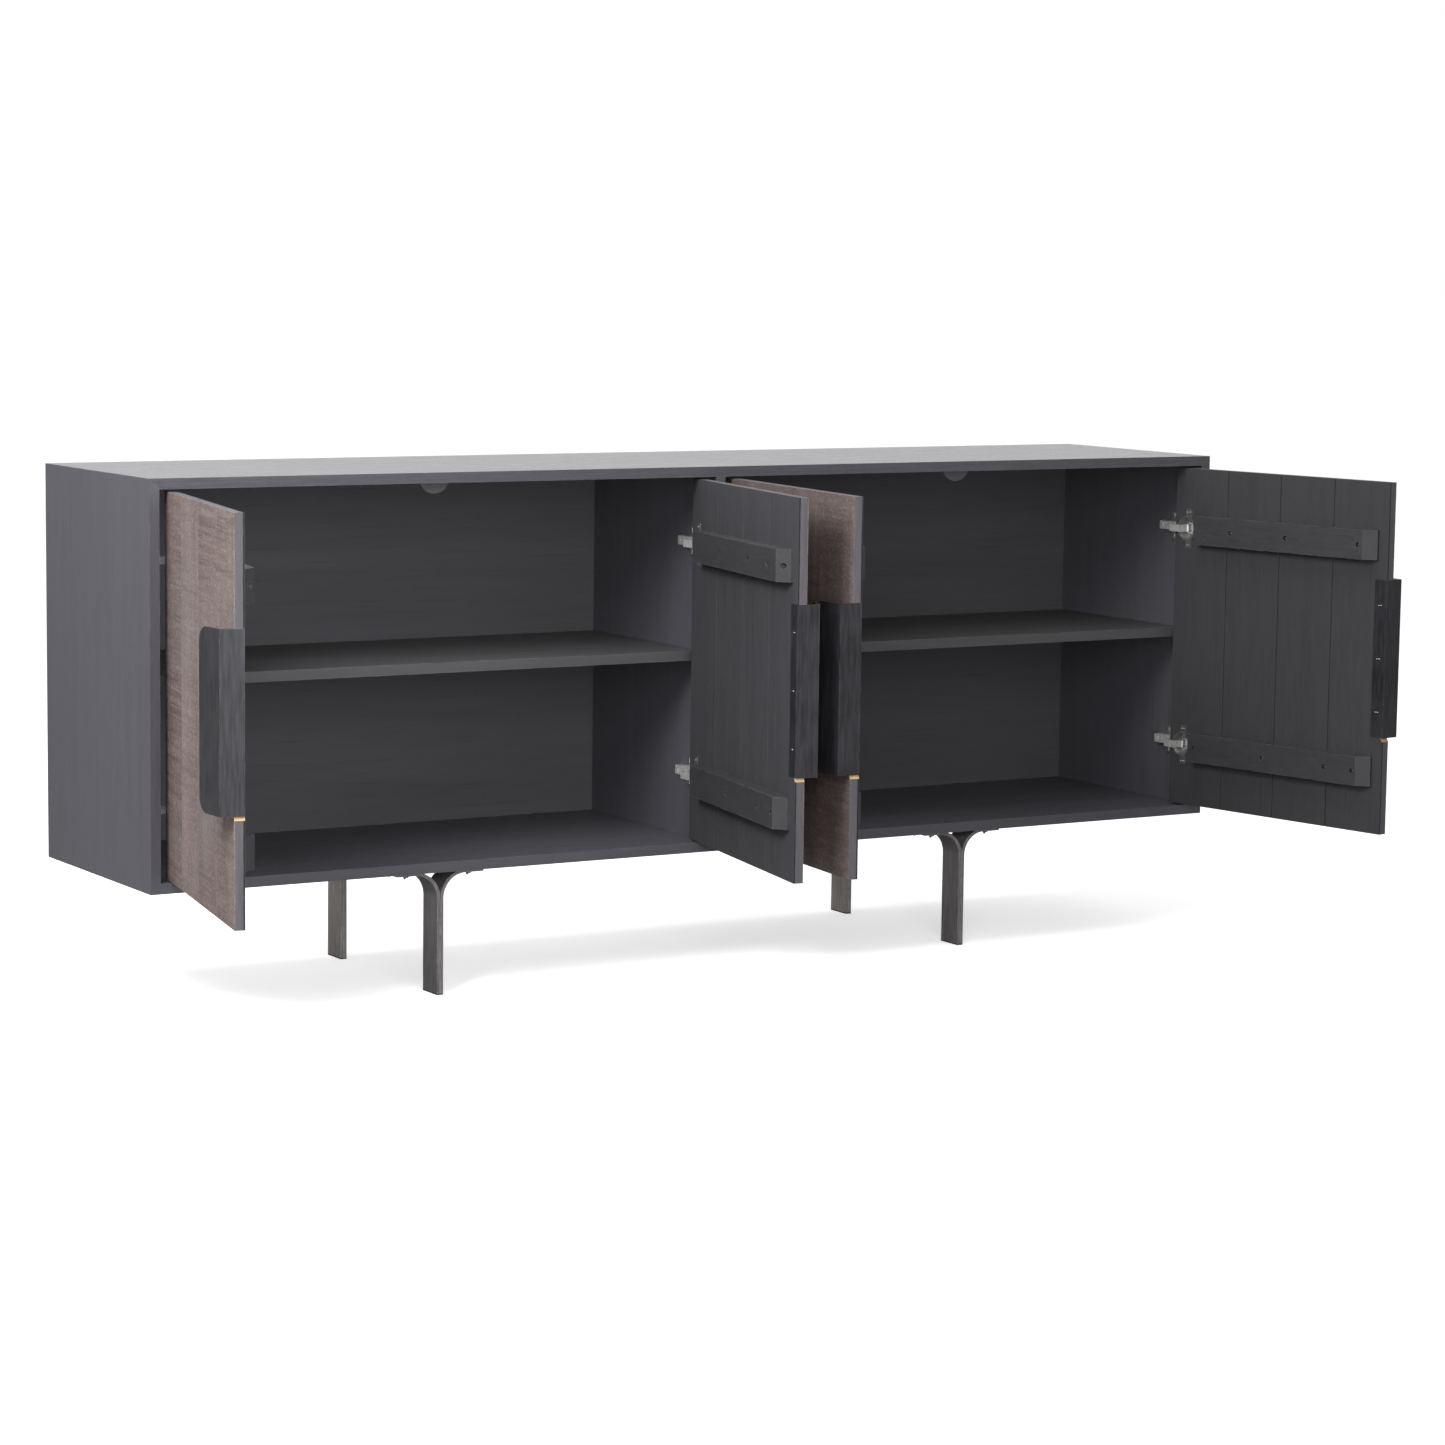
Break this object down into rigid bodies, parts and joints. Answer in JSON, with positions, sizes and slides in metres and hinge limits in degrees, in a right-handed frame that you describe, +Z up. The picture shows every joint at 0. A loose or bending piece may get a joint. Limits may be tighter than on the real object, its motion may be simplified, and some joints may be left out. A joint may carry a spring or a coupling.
{
  "type": "sideboard buffet",
  "caption": "Long low sideboard on flat-bar legs: a dark wooden case in two shelved bays, closed by plank doors on concealed hinges with wrap-around pulls.",
  "frame": {"origin": "on the floor, under the middle of the case's footprint", "axes": "+X along the front to the right seen from the front, +Y to the back, +Z up; the doors face -Y"},
  "size_m": [1.9353, 0.7886, 0.75],
  "materials": {
    "case_wood": "matt charcoal stain",
    "inner_wood": "matt charcoal stain",
    "door_planks": "rough-sawn, grey-brown stain",
    "handle_steel": "satin black",
    "black_steel": "satin black",
    "nickel": "nickel plate",
    "glide_plastic": "matt"
  },
  "bodies": {
    "case": {"top_panel": "case_wood", "bottom_panel": "case_wood", "side_panel_left": "case_wood", "side_panel_right": "case_wood", "centre_divider": "case_wood", "back_panel": "inner_wood", "shelf_left": "inner_wood", "shelf_right": "inner_wood", "shelf_pins": "nickel", "ceiling_tabs": "inner_wood", "leg_front_left": "black_steel", "leg_front_right": "black_steel", "leg_rear_left": "black_steel", "leg_rear_right": "black_steel", "leg_screws": "black_steel", "leg_glides": "glide_plastic", "hinge_plates": "nickel", "hinge_arms": "nickel", "case_screws": "nickel"},
    "door_a": {"door_a_plank_1": "door_planks", "door_a_plank_2": "door_planks", "door_a_plank_3": "door_planks", "door_a_plank_4": "door_planks", "door_a_cleat_upper": "inner_wood", "door_a_cleat_lower": "inner_wood", "door_a_handle": "handle_steel", "door_a_hinge_cups": "nickel", "door_a_hinge_pins": "nickel", "door_a_screws": "nickel"},
    "door_b": {"door_b_plank_1": "door_planks", "door_b_plank_2": "door_planks", "door_b_plank_3": "door_planks", "door_b_plank_4": "door_planks", "door_b_cleat_upper": "inner_wood", "door_b_cleat_lower": "inner_wood", "door_b_handle": "handle_steel", "door_b_hinge_cups": "nickel", "door_b_hinge_pins": "nickel", "door_b_screws": "nickel"},
    "door_c": {"door_c_plank_1": "door_planks", "door_c_plank_2": "door_planks", "door_c_plank_3": "door_planks", "door_c_plank_4": "door_planks", "door_c_cleat_upper": "inner_wood", "door_c_cleat_lower": "inner_wood", "door_c_handle": "handle_steel", "door_c_hinge_cups": "nickel", "door_c_hinge_pins": "nickel", "door_c_screws": "nickel"},
    "door_d": {"door_d_plank_1": "door_planks", "door_d_plank_2": "door_planks", "door_d_plank_3": "door_planks", "door_d_plank_4": "door_planks", "door_d_cleat_upper": "inner_wood", "door_d_cleat_lower": "inner_wood", "door_d_handle": "handle_steel", "door_d_hinge_cups": "nickel", "door_d_hinge_pins": "nickel", "door_d_screws": "nickel"}
  },
  "joints": [
    {"name": "door_a_hinge", "type": "hinge", "parent": "case", "child": "door_a", "pos_m": [-0.8645, -0.184, 0.465], "axis": [0, 0, -1], "range_deg": [-101.5, 8.5]},
    {"name": "door_b_hinge", "type": "hinge", "parent": "case", "child": "door_b", "pos_m": [-0.028, -0.184, 0.465], "axis": [0, 0, 1], "range_deg": [-79, 0]},
    {"name": "door_c_hinge", "type": "hinge", "parent": "case", "child": "door_c", "pos_m": [0.028, -0.184, 0.465], "axis": [0, 0, -1], "range_deg": [-97, 0]},
    {"name": "door_d_hinge", "type": "hinge", "parent": "case", "child": "door_d", "pos_m": [0.8645, -0.184, 0.465], "axis": [0, 0, 1], "range_deg": [-99.5, 10.5]}
  ]
}
